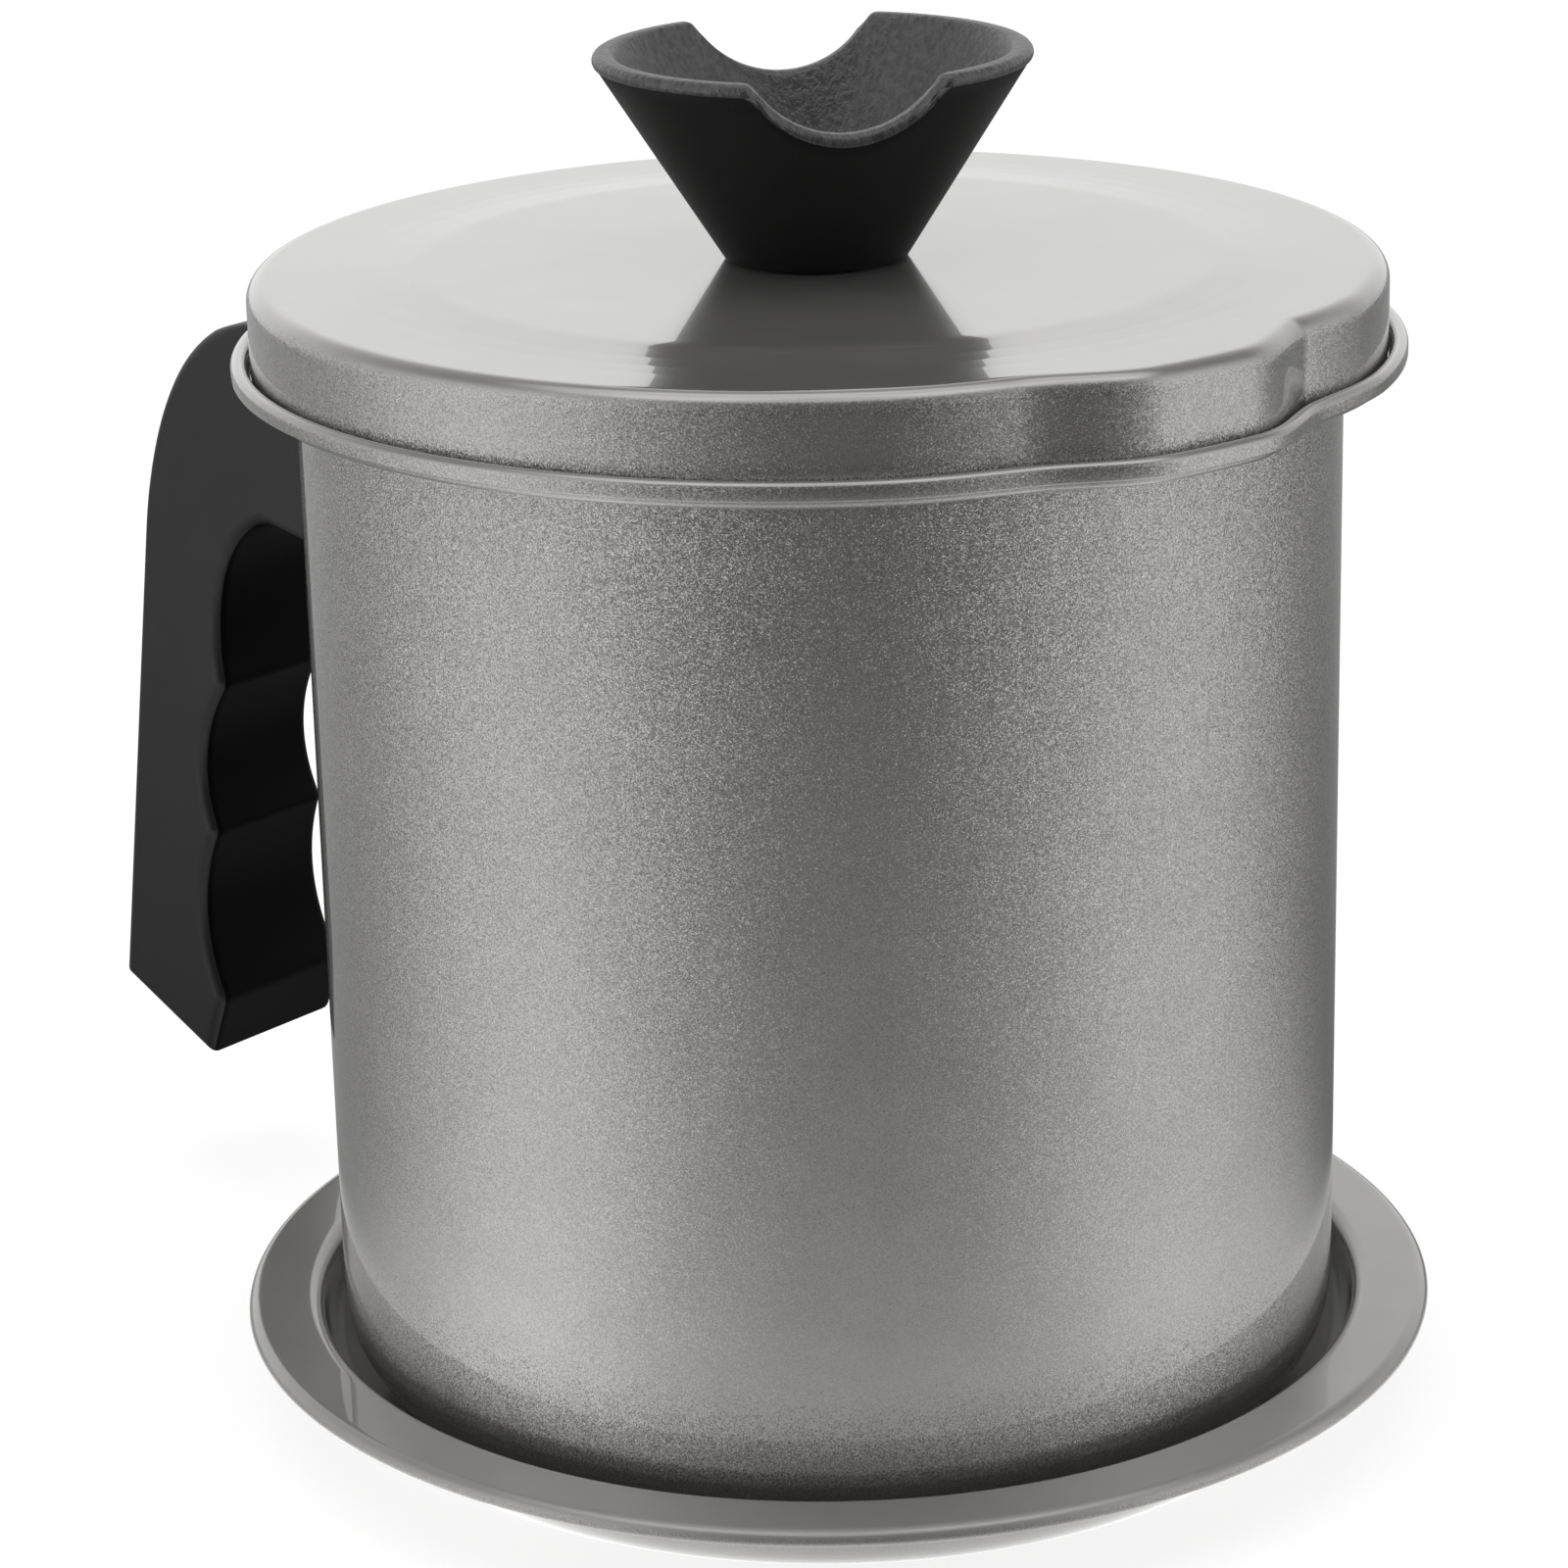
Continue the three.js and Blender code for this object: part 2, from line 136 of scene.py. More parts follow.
# Knob
KNOB_WALL = 2.5 * MM
KNOB_FLOOR = 9 * MM
KNOB_BOWL_BEND = 5 * MM
KNOB_FOOT_RADIUS = 10.9 * MM
KNOB_FOOT_BEND = 0.5 * MM
KNOB_RIM_BEVEL = 0.8 * MM
KNOB_OUTER_EDGE = 0.9 * MM
KNOB_INNER_EDGE = 1.2 * MM
KNOB_LIP = 1.7 * MM
KNOB_LIP_PROUD = 0.12 * MM
KNOB_GROOVE = 0.1 * MM
NOTCH_RADIUS = 12.5 * MM
NOTCH_DEPTH = 6.4 * MM
NOTCH_EASE = 0.4 * MM
NOTCH_ANGLE = -40
POCKET_RADIUS = 4.5 * MM
POCKET_DEPTH = 7.5 * MM
RIM_PASSES = 24
FOOT_STEPS = 5
CONE_STEPS = 10
RIM_STEPS = 6
HOLLOW_STEPS = 6
BOWL_STEPS = 10
knob_flare = (knob_high.x - KNOB_FOOT_RADIUS) / (knob_high.z - knob_low.z - KNOB_RIM_BEVEL)
knob_slant = Vector((knob_flare, 1)).normalized()
knob_outward = Vector((knob_slant.y, -knob_slant.x))
knob_wall_run = KNOB_WALL * math.hypot(1, knob_flare)

# Screws and washers
SCREW_RADIUS = 2.1 * MM
SCREW_TIP = 0.6 * MM
SCREW_HOLE_RADIUS = 2.7 * MM
HEAD_RADIUS = 4.2 * MM
HEAD_HEIGHT = 2.6 * MM
HEAD_CROWN = 1.4 * MM
RECESS_WIDTH = 1 * MM
RECESS_LENGTH = 4.8 * MM
RECESS_DEPTH = 1.3 * MM
EDGE_ROUND = 0.2 * MM

# Handle. Reaches are outward from the pot's wall, drops downward from the ledge.
GRIP_WIDTH = 19.1 * MM
GRIP_FLARE = 0.09
GRIP_EDGE = 1.8 * MM
GRIP_EDGE_STEPS = 6
ARM_INSET = 8 * MM
ARM_TOP_DROP = 5 * MM
ARM_ROOT_DROP = 39.4 * MM
ARM_CORNER = (27.3 * MM, 33.9 * MM)
SHOULDER = (32.5 * MM, 7.6 * MM)
SHOULDER_PULL = (46.7 * MM, 11.9 * MM)
GRIP_TOP = (50.3 * MM, 35.8 * MM)
HEEL = (57 * MM, 102.7 * MM)
TOE = (39.8 * MM, 111.2 * MM)
TOE_TOP = (36.9 * MM, 102.4 * MM)
LOW_CUSP = (37.5 * MM, 78.6 * MM)
HIGH_CUSP = (35.3 * MM, 57.7 * MM)
GROOVE_DEPTH = 3 * MM
TOP_GROOVE_PULL = 2 * MM
TOP_GROOVE_FALL = 8.1 * MM
TOP_GROOVE_RISE = 20.6 * MM
ROOT_EASE = 0.5 * MM
ARM_CORNER_EASE = 2.4 * MM
CUSP_EASE = 0.9 * MM
TOE_TOP_EASE = 1.2 * MM
TOE_EASE = 0.8 * MM
HEEL_EASE = 0.7 * MM
GRIP_TOP_EASE = 3 * MM
SHOULDER_EASE = 4 * MM
EDGE_EASE_LOSS = 0.8
EASE_STEPS = 6
GROOVE_STEPS = 24
SWEEP_STEPS = 28
INNER_SLANT = 0.55
COUNTERBORE_REACH = 36.5 * MM
COUNTERBORE_RADIUS = 5.4 * MM
TONGUE_REACH = 17.3 * MM
TONGUE_ROOM = (8.6 * MM, 10.6 * MM)
PLATE_REACH = 2.1 * MM
PLATE_ROOM = (10.6 * MM, 20.6 * MM)

# Fineness
AROUND = 288
SMALL_AROUND = 64
BEND_STEP = 9
FEWEST_BEND_STEPS = 3
FREE_EDGE_STEPS = 6
SUPPORT = 0.35 * MM
LONG_RUN = 12 * MM
SHARP_ANGLE = 40
FLAT_SHARP_ANGLE = 35
FACE_WEIGHT = 100

# Camera, found from the outlines in the photograph. Pixels are those of its 1600 by 1600 frame.
CAMERA_BEARING = -50
CAMERA_REACH = 0.56624
CAMERA_HEIGHT = 0.26627
CAMERA_PITCH = 18.542
CAMERA_YAW = -0.542
CAMERA_ROLL = -1.348
FOCAL_PIXELS = 4945.4
FRAME_PIXELS = 1600
SENSOR_WIDTH = 36
CLIP_START = 0.01

# Paint. Slopes are the vertical share of a face's normal, from which it begins to count as level and
# from which it fully does. The pot and the tray have their own grey, metallic share and roughness
# on level faces.
PAINT_WARMTH = 0.022
POT_GREY, POT_METALLIC, POT_LEVEL_ROUGHNESS = 0.43, 0.74, 0.15
TRAY_GREY, TRAY_METALLIC, TRAY_LEVEL_ROUGHNESS = 0.42, 0.4, 0.3
UPRIGHT_ROUGHNESS = 0.3
COAT_ROUGHNESS = 0.03
GLOSS_SLOPES = (0.3, 0.9)
CLOUD_SIZE = 9 * MM
CLOUD_LEVELS = (0.97, 1.03)

# The paint's metallic share on level faces, against that on upright ones
LEVEL_METALLIC = 0.72

# Paint flakes: their size, and how far they lean low on the pot, high on it, and from the neck up
# against that. The painted highlight is how much lighter a flake is painted for leaning upward, as if lit
# from above.
FLAKE_SIZE = 0.11 * MM
LOW_TILT = 0.14
HIGH_TILT = 0.34
LID_TILT = 0.55
FLAKE_SLOPES = (0.2, 0.8)
FLAKE_PAINTED_HIGHLIGHT = 2
NECK_FADE = 3 * MM

# Noise spans this range almost everywhere
NOISE_LOW, NOISE_HIGH = 0.3, 0.7

# Plastic: greys, roughness, gloss, and the size and depth of the mould's grain
HANDLE_GREY, HANDLE_ROUGHNESS, HANDLE_GLOSS = 0.011, 0.42, 0.5
HANDLE_PATCH, HANDLE_ROUGHNESSES = 5 * MM, (0.4, 0.45)
# The handle's inner faces, which look towards the pot or down from the arm, are painted darker and less
# glossy: painted shade in its recesses.
INNER_SHADE_GREY, INNER_SHADE_GLOSS = 0.003, 0.08
KNOB_GREY, KNOB_GLOSS = 0.013, 0.2
MATT_ROUGHNESS = 0.5
FINE_GRAIN, FINE_GRAIN_DEPTH = 0.35 * MM, 0.012 * MM
RIM_ROUGHNESS, RIM_GLOSS = 0.34, 0.9
RIM_GREYS = (0.03, 0.09)
RIM_GRAIN, RIM_GRAIN_DEPTH = 0.75 * MM, 0.06 * MM
RIM_GRAIN_STRETCH = (1, 1, 0.6)
RIM_GRAIN_RANGE = (0.35, 0.65)
GRAIN_DETAIL = 3
COARSE_NOISE = 0.6

# Bare metal: colours, roughness, and the size, depth and direction of its marks
STEEL, STEEL_ROUGHNESS = (0.56, 0.57, 0.58, 1), 0.26
WIRE, WIRE_ROUGHNESS = (0.5, 0.51, 0.52, 1), 0.3
BRASS, BRASS_ROUGHNESS = (0.6, 0.44, 0.2, 1), 0.3
MARK_SIZE, MARK_DEPTH = 0.5 * MM, 0.006 * MM
MARK_GLOSS, MARK_DULLNESS = 0.06, 0.08
ROUND_MARKS = (1, 1, 8)
EVEN_MARKS = (1, 1, 1)

# Studio levels, where 1 is white, the bearings that they come from, and reaches from the pot's axis.
# Rises are sines of the height that a direction points to, between which a level changes.
# The front, side and ring levels on the floor are a painted glow, seen only in reflections.
FRONT_NEAR, FRONT_FAR = 0.64, 0.04
FRONT_WIDTH = (0.15, 0.75)
SIDES_NEAR = 0.72
RING_REACH, RING_LEVEL = 0.105, 0.6
NEAR_REACH, FAR_REACH = 0.08, 0.42
LEFT_BEARING, LEFT_LEVEL = -114, 1.18
RIGHT_BEARING, RIGHT_LEVEL = 25, 1.12
SIDE_FALL = 6
BACK_BEARING, BACK_LEVEL = 150, 0.36
BAND_BEARING, BAND_LEVEL, BAND_HIGH_LEVEL = 130, 0.58, 0.2
BAND_FALL = 0.7
BAND_RISES = (0.32, 0.75)
FADE_RISES, HIGH_SHARE = (0.4, 0.9), 0.5
TOP_RISES, TOP_LEVEL = (0.8, 0.93), 0.9
FLOOR_SIZE = 4
FLOOR_WHITE = 0.4
FLOOR_GLOW = 0.8


def bearing(angle, reach, height=0.0):
    """A place at a bearing round the pot's axis, counted from +X."""
    turn = math.radians(angle)
    return Vector((reach * math.cos(turn), reach * math.sin(turn), height))


def smoothstep(value, low, high):
    share = min(max((value - low) / (high - low), 0), 1)
    return share * share * (3 - 2 * share)


def spaced(start, end, count):
    """Evenly spaced points between two places, without either."""
    return [start.lerp(end, k / count) for k in range(1, count)]


def curve(controls, count):
    """Points along a Bezier curve, without its start."""
    made = []
    for step in range(1, count + 1):
        points = list(controls)
        while len(points) > 1:
            points = [a.lerp(b, step / count) for a, b in zip(points, points[1:])]
        made.append(points[0])
    return made


def bent(corners, steps=None):
    """Straight runs whose corners (r, z, bend radius) are rounded."""
    path = []
    for i, (r, z, *bend) in enumerate(corners):
        corner = Vector((r, z))
        if not bend:
            path.append(corner)
            continue
        back = (Vector(corners[i - 1][:2]) - corner).normalized()
        on = (Vector(corners[i + 1][:2]) - corner).normalized()
        half = back.angle(on) / 2
        centre = corner + (back + on).normalized() * (bend[0] / math.sin(half))
        start = corner + back * (bend[0] / math.tan(half)) - centre
        turn = (math.pi - 2 * half) * (1 if on.cross(back) > 0 else -1)
        count = steps or max(FEWEST_BEND_STEPS, math.ceil(math.degrees(abs(turn)) / BEND_STEP))
        for step in range(count + 1):
            path.append(centre + Matrix.Rotation(turn * step / count, 2) @ start)
    return path


def supported(path):
    """The same path with points near the ends of its straight runs, for clean shading."""
    made = [path[0]]
    for start, end in zip(path, path[1:]):
        run = (end - start).length
        if run > 4 * SUPPORT:
            along = (end - start) / run
            inner = run - 2 * SUPPORT
            count = math.ceil(inner / LONG_RUN)
            made += [start + along * (SUPPORT + inner * k / count) for k in range(count + 1)]
        made.append(end)
    return made


def half_round(centre, spoke):
    """Points of a half circle that starts at a spoke and turns clockwise, without its ends."""
    turns = [-math.pi * k / FREE_EDGE_STEPS for k in range(1, FREE_EDGE_STEPS)]
    return [centre + Matrix.Rotation(turn, 2) @ spoke for turn in turns]


def shortened(path, length):
    """The path without a length of its end."""
    while (path[-1] - path[-2]).length <= length + TINY:
        length -= (path[-1] - path[-2]).length
        path = path[:-1]
    return path[:-1] + [path[-1] + (path[-2] - path[-1]).normalized() * length]


def sheet(path, thickness, round_start=False):
    """The outline of a sheet whose middle follows a path. Its free edges are rounded."""
    apart = [on for place, on in zip(path, path[1:]) if (on - place).length > TINY]
    half = thickness / 2
    path = shortened(path[:1] + apart, half)
    if round_start:
        path = shortened(path[::-1], half)[::-1]
    left, right = [], []
    for i, place in enumerate(path):
        back = (place - path[max(i - 1, 0)]).normalized()
        on = (path[min(i + 1, len(path) - 1)] - place).normalized()
        along = (back + on).normalized()
        straight = back if i else on
        across = Vector((-along.y, along.x)) * (half / along.dot(straight))
        left.append(place + across)
        right.append(place - across)
    outline = left + half_round(path[-1], left[-1] - path[-1]) + right[::-1]
    if round_start:
        outline += half_round(path[0], right[0] - path[0])
    return outline


def from_spout(angle):
    """How far a bearing lies from the spout's middle, between -180 and 180 degrees."""
    return (angle - SPOUT_ANGLE + 180) % 360 - 180


def spout_reach(angle):
    """How far the neck stands out of round at a bearing: out at the spout, in beside it."""
    side = from_spout(angle)
    offset = abs(side)
    lip = 1 - smoothstep(offset, SPOUT_FLAT_HALF, SPOUT_HALF)
    dip = 1 - smoothstep(abs(offset - SPOUT_HALF), 0, SPOUT_DIP_HALF)
    return SPOUT_PROUD * lip - (SPOUT_DIP if side > 0 else SPOUT_SOFT_DIP) * dip


def crease_reach(angle):
    """How far the creases at both ends of the spout draw in the lid's skirt. One is sharper."""
    offset = from_spout(angle)
    sharp = math.exp(-abs(offset - SPOUT_HALF) / CREASE_HALF)
    soft = math.exp(-abs(offset + SPOUT_HALF) / (2 * CREASE_HALF)) * SOFT_CREASE
    return -CREASE_DEPTH * (sharp + soft)


def press(inner, outer, creased=False):
    """A change that carries the spout's shape in, fully at one radius and not at all inside another."""
    def change(place):
        radius = math.hypot(place.x, place.y)
        share = smoothstep(radius, inner, outer)
        if share == 0:
            return place
        angle = math.degrees(math.atan2(place.y, place.x))
        reach = spout_reach(angle) + (crease_reach(angle) if creased else 0)
        grow = 1 + share * reach / radius
        return Vector((place.x * grow, place.y * grow, place.z))
    return change


# Meshes

def body(name, verts, faces, sharp=SHARP_ANGLE):
    """An object from points and faces, with its faces outward and its shading smooth."""
    mesh = bpy.data.meshes.new(name)
    mesh.from_pydata([tuple(place) for place in verts], [], [tuple(face) for face in faces])
    shape = bmesh.new()
    shape.from_mesh(mesh)
    bmesh.ops.recalc_face_normals(shape, faces=shape.faces)
    shape.to_mesh(mesh)
    shape.free()
    mesh.shade_smooth()
    mesh.set_sharp_from_angle(angle=math.radians(sharp))
    piece = bpy.data.objects.new(name, mesh)
    bpy.context.scene.collection.objects.link(piece)
    return piece


def skinned(rings):
    """Faces between each ring of points and the next."""
    faces = []
    for low, high in zip(rings, rings[1:]):
        for k in range(len(low)):
            on = (k + 1) % len(low)
            faces.append(list(dict.fromkeys((low[k], low[on], high[on], high[k]))))
    return faces


def lofted(name, columns):
    """A body from outlines (r, z) set round +Z, one for each bearing. Points on the axis are shared."""
    around = len(columns)
    verts, rings = [], []
    for i, first in enumerate(columns[0]):
        start = len(verts)
        if first.x < TINY:
            verts.append(Vector((0, 0, first.y)))
            rings.append([start] * around)
            continue
        verts += [bearing(360 * k / around, *column[i]) for k, column in enumerate(columns)]
        rings.append(range(start, start + around))
    if columns[0][0].x > TINY:
        rings.append(rings[0])
    return body(name, verts, skinned(rings))


def turned(name, outline, around=AROUND, change=None):
    """A body of revolution, with a change applied to each of its points."""
    piece = lofted(name, [outline] * around)
    if change:
        for vertex in piece.data.vertices:
            vertex.co = change(vertex.co)
    return piece


def applied(piece):
    """The piece with its modifiers applied."""
    graph = bpy.context.evaluated_depsgraph_get()
    mesh = bpy.data.meshes.new_from_object(piece.evaluated_get(graph))
    piece.modifiers.clear()
    old, piece.data = piece.data, mesh
    bpy.data.meshes.remove(old)
    mesh.name = piece.name
    return piece


def cut(piece, *tools):
    """Takes other bodies out of a piece, and removes them."""
    for tool in tools:
        modifier = piece.modifiers.new("cut", "BOOLEAN")
        modifier.object = tool
        modifier.operation = "DIFFERENCE"
        modifier.solver = "EXACT"
    applied(piece)
    for tool in tools:
        bpy.data.objects.remove(tool)
    return piece


def even_shading(piece):
    """Keeps flat faces flat beside the small faces of their rounded edges."""
    piece.data.shade_smooth()
    piece.data.set_sharp_from_angle(angle=math.radians(FLAT_SHARP_ANGLE))
    modifier = piece.modifiers.new("shading", "WEIGHTED_NORMAL")
    modifier.keep_sharp = True
    modifier.weight = FACE_WEIGHT
    return applied(piece)


def block(low, high):
    """A box between two corners, for cutting."""
    verts = [(x, y, z) for x in (low[0], high[0]) for y in (low[1], high[1]) for z in (low[2], high[2])]
    faces = [(0, 1, 3, 2), (4, 6, 7, 5), (0, 4, 5, 1), (2, 3, 7, 6), (0, 2, 6, 4), (1, 5, 7, 3)]
    return body("cutter", verts, faces)


def bar(radius, start, end, around=SMALL_AROUND):
    """A round bar along +Z, for cutting."""
    corners = ((0, start), (radius, start), (radius, end), (0, end))
    return turned("cutter", [Vector(corner) for corner in corners], around)


def turned_out(piece, height, degrees=-90):
    """Turns a piece made along +Z to lie along X at the pot's wall, at a height."""
    piece.data.transform(Matrix.Rotation(math.radians(degrees), 4, "Y"))
    piece.data.transform(Matrix.Translation((-pot_radius, 0, height)))
    return piece


# Pieces

def tray():
    half = TRAY_SHEET / 2
    edge = tray_high.x - half
    lip = edge - TRAY_RIM_WIDTH + half
    foot = lip - WELL_DRAFT + half
    rim = tray_high.z - half
    path = bent([
        (0, half), (foot, half, WELL_FOOT_BEND), (lip, rim, WELL_LIP_BEND), (edge, rim, TRAY_EDGE_BEND),
        (edge, tray_high.z - TRAY_EDGE_DROP),
    ])
    return turned("tray_pressing", sheet(supported(path), TRAY_SHEET))


def pot():
    half = POT_SHEET / 2
    wall = pot_radius - half
    base = pot_base + half
    ledge = ledge_top - half
    upright = neck_radius + half
    outside = neck_radius + BEAD_WIDTH - half
    crest = ledge_top + BEAD_HEIGHT - half
    roll = (outside - upright) / 2
    path = bent([
        (0, base), (wall, base, POT_BOTTOM_BEND), (wall, ledge, NECK_BEND), (upright, ledge, BEAD_BEND),
        (upright, crest, roll), (outside, crest, roll), (outside, crest - BEAD_RETURN),
    ])
    return turned("pot_drawing", sheet(supported(path), POT_SHEET), change=press(pot_radius, neck_radius))


def strainer_basket():
    half = CUP_SHEET / 2
    outer = pot_radius - POT_SHEET - CUP_GAP
    wall = outer - half
    floor = cup_low.z + half
    flange = cup_high.z - half
    rim = neck_radius - FLANGE_GAP
    lip = outer - CUP_SHEET - CUP_LIP
    path = bent([(lip, floor), (wall, floor, CUP_BEND), (wall, flange, CUP_BEND), (rim, flange)])
    outline = sheet(supported(path), CUP_SHEET, round_start=True)
    return turned("strainer_basket", outline, change=press(pot_radius, rim))


def wire(half, offset, phase):
    """Rings of points (along, across, up) round a wire that rises over one wire that crosses it
    and dips under the next."""
    swing = WIRE_THICKNESS / 2
    turns = [2 * math.pi * side / WIRE_SIDES for side in range(WIRE_SIDES)]
    steps = max(2, round(2 * half / WIRE_PITCH * WIRE_STEPS))
    for step in range(steps + 1):
        along = half * (2 * step / steps - 1)
        rise = swing * math.cos(math.pi * (along / WIRE_PITCH + phase))
        yield [(along, offset + swing * math.cos(turn), rise + swing * math.sin(turn)) for turn in turns]


def strainer_weave():
    """The strainer's floor, a plain weave of wires that run along X and along Y."""
    reach = mesh_high.x - WIRE_INSET
    middle = (mesh_low.z + mesh_high.z) / 2
    count = math.floor(reach / WIRE_PITCH)
    verts, faces = [], []
    for crossing in (0, 1):
        for row in range(-count, count + 1):
            offset = row * WIRE_PITCH
            half = math.sqrt(reach * reach - offset * offset)
            rings = []
            for ring in wire(half, offset, row + crossing):
                rings.append(range(len(verts), len(verts) + WIRE_SIDES))
                for along, across, up in ring:
                    level = (across, along) if crossing else (along, across)
                    verts.append((*level, middle + up))
            faces += skinned(rings) + [rings[0], rings[-1]]
    return body("strainer_weave", verts, faces, WIRE_SHARP)


def washer(name, inner, outer, base, top, around=SMALL_AROUND):
    middle = (base + top) / 2
    outline = bent([
        (inner, middle), (inner, base, EDGE_ROUND), (outer, base, EDGE_ROUND), (outer, top, EDGE_ROUND),
        (inner, top, EDGE_ROUND), (inner, middle),
    ])
    return turned(name, outline[:-1], around)


def strainer_band():
    return washer("strainer_band", ring_high.x - RING_WIDTH, ring_high.x, ring_low.z, ring_high.z, AROUND)


def screw(name, length):
    """A pan head screw along +Z, with its head's bearing face at zero."""
    outline = bent([
        (0, length), (SCREW_RADIUS, length, SCREW_TIP), (SCREW_RADIUS, 0), (HEAD_RADIUS, 0, EDGE_ROUND),
        (HEAD_RADIUS, -HEAD_HEIGHT, HEAD_CROWN), (0, -HEAD_HEIGHT),
    ])
    piece = turned(name, outline, SMALL_AROUND)
    long, wide = RECESS_LENGTH / 2, RECESS_WIDTH / 2
    low, high = -2 * HEAD_HEIGHT, RECESS_DEPTH - HEAD_HEIGHT
    cut(piece, block((-long, -wide, low), (long, wide, high)), block((-wide, -long, low), (wide, long, high)))
    return even_shading(piece)


def lid():
    half = LID_SHEET / 2
    skirt = -lid_low.x - half
    top = lid_high.z - half
    shoulder = top - LID_CROWN
    path = bent([
        (SCREW_HOLE_RADIUS, top - LID_DISH), (CROWN_RADIUS, top, CROWN_BEND),
        (CROWN_RADIUS + CROWN_SLOPE, shoulder, SLOPE_BEND), (skirt, shoulder, SHOULDER_BEND),
        (skirt, lid_low.z),
    ])
    outline = sheet(supported(path), LID_SHEET, round_start=True)
    shaped = press(skirt - LID_REACH, skirt - SHOULDER_BEND, creased=True)
    return turned("lid_pressing", outline, 2 * AROUND, shaped)


def notch_drop(distance):
    """How far the knob's rim drops at a distance from the notches' middle line."""
    drop = NOTCH_DEPTH - NOTCH_RADIUS + math.sqrt(max(NOTCH_RADIUS ** 2 - distance ** 2, 0))
    return (drop + math.hypot(drop, NOTCH_EASE)) / 2


def knob_edge(inward, share):
    """Where a wall set in from the knob's outer cone meets the rim. The share is across the notches."""
    height = knob_high.z
    for _ in range(RIM_PASSES):
        radius = min(KNOB_FOOT_RADIUS + knob_flare * (height - knob_low.z), knob_high.x) - inward
        height = knob_high.z - notch_drop(radius * share)
    return Vector((radius, height))


def knob_foot(lip):
    """The knob's pocket for its insert, and its foot, up to where the outer cone begins."""
    base, pocket = knob_low.z, knob_low.z + POCKET_DEPTH
    foot = bent([(POCKET_RADIUS, base), (KNOB_FOOT_RADIUS, base, KNOB_FOOT_BEND), lip], FOOT_STEPS)
    return [Vector((0, pocket)), Vector((POCKET_RADIUS, pocket))] + foot[:-1]


def knob_rim(outer, inner, inside):
    """The knob's lip, which stands a little proud, and its rim."""
    proud = knob_outward * KNOB_LIP_PROUD
    lip = outer - knob_slant * KNOB_LIP
    return bent([
        lip + proud, (*(outer + proud), KNOB_OUTER_EDGE), (*inner, KNOB_INNER_EDGE), inside,
    ], RIM_STEPS)


def knob_hollow(inside):
    """The inside of the knob, from below its rim to the middle of its floor."""
    floor = knob_low.z + KNOB_FLOOR
    bowl = KNOB_FOOT_RADIUS + knob_flare * KNOB_FLOOR - knob_wall_run
    hollow = bent([inside, (bowl, floor, KNOB_BOWL_BEND), (0, floor)], BOWL_STEPS)
    return spaced(inside, hollow[1], HOLLOW_STEPS) + hollow[1:]


def shaded_as_cone(piece, rings, around):
    """Gives some rings of the knob's points the normals of its outer cone, which the notches would bend."""
    normals = [Vector()] * len(piece.data.vertices)
    for vertex in range(1 + (rings.start - 1) * around, 1 + (rings.stop - 1) * around):
        normals[vertex] = bearing(360 * ((vertex - 1) % around) / around, *knob_outward)
    piece.data.normals_split_custom_set_from_vertices(normals)


def knob():
    """The knob, and its first face above the groove under its lip, where the rough finish begins."""
    around = 2 * AROUND
    columns = []
    for k in range(around):
        share = abs(math.sin(math.radians(360 * k / around - NOTCH_ANGLE)))
        outer, inner = knob_edge(0, share), knob_edge(knob_wall_run, share)
        lip, inside = outer - knob_slant * KNOB_LIP, inner - knob_slant * KNOB_LIP
        foot = knob_foot(lip)
        cone = spaced(foot[-1], lip, CONE_STEPS)
        groove = [lip - knob_slant * KNOB_GROOVE, lip - knob_outward * KNOB_GROOVE]
        columns.append(foot + cone + groove + knob_rim(outer, inner, inside) + knob_hollow(inside))
    piece = lofted("knob_moulding", columns)
    cone_end = len(foot) + len(cone)
    shaded_as_cone(piece, range(len(foot), cone_end), around)
    return piece, (cone_end + 1) * around


def run_length(run):
    return sum((on - place).length for place, on in zip(run, run[1:]))


def along_run(run, distance):
    """The place at a distance along a run of points."""
    for start, end in zip(run, run[1:]):
        length = (end - start).length
        if distance <= length:
            break
        distance -= length
    return start.lerp(end, distance / length if distance <= length else 1)


def grip_sides():
    """The handle's side view (distance from the axis, height) as runs between its corners, each
    with how much of its last corner is eased."""
    def place(reach, drop):
        return Vector((pot_radius + reach, ledge_top - drop))

    def groove(start, end):
        pull = (start + end) / 2 + Vector((2 * GROOVE_DEPTH, 0))
        return [start] + curve([start, pull, end], GROOVE_STEPS)

    root_top, root_low = place(-ARM_INSET, ARM_TOP_DROP), place(-ARM_INSET, ARM_ROOT_DROP)
    wall_low = place(0, ARM_ROOT_DROP)
    corner, high, low = place(*ARM_CORNER), place(*HIGH_CUSP), place(*LOW_CUSP)
    toe_top, toe, heel = place(*TOE_TOP), place(*TOE), place(*HEEL)
    top, shoulder = place(*GRIP_TOP), place(*SHOULDER)
    first_groove = [
        place(HIGH_CUSP[0] + TOP_GROOVE_PULL / 2, HIGH_CUSP[1] - TOP_GROOVE_RISE),
        place(HIGH_CUSP[0] + TOP_GROOVE_PULL, HIGH_CUSP[1] - TOP_GROOVE_FALL),
    ]
    return [
        ([root_top, root_low], ROOT_EASE),
        ([root_low, wall_low], ROOT_EASE),
        ([wall_low, corner], ARM_CORNER_EASE),
        ([corner] + curve([corner, *first_groove, high], SWEEP_STEPS), CUSP_EASE),
        (groove(high, low), CUSP_EASE),
        (groove(low, toe_top), TOE_TOP_EASE),
        ([toe_top, toe], TOE_EASE),
        ([toe, heel], HEEL_EASE),
        ([heel, top], GRIP_TOP_EASE),
        ([top] + curve([top, place(*SHOULDER_PULL), shoulder], SWEEP_STEPS), SHOULDER_EASE),
        ([shoulder, root_top], ROOT_EASE),
    ]


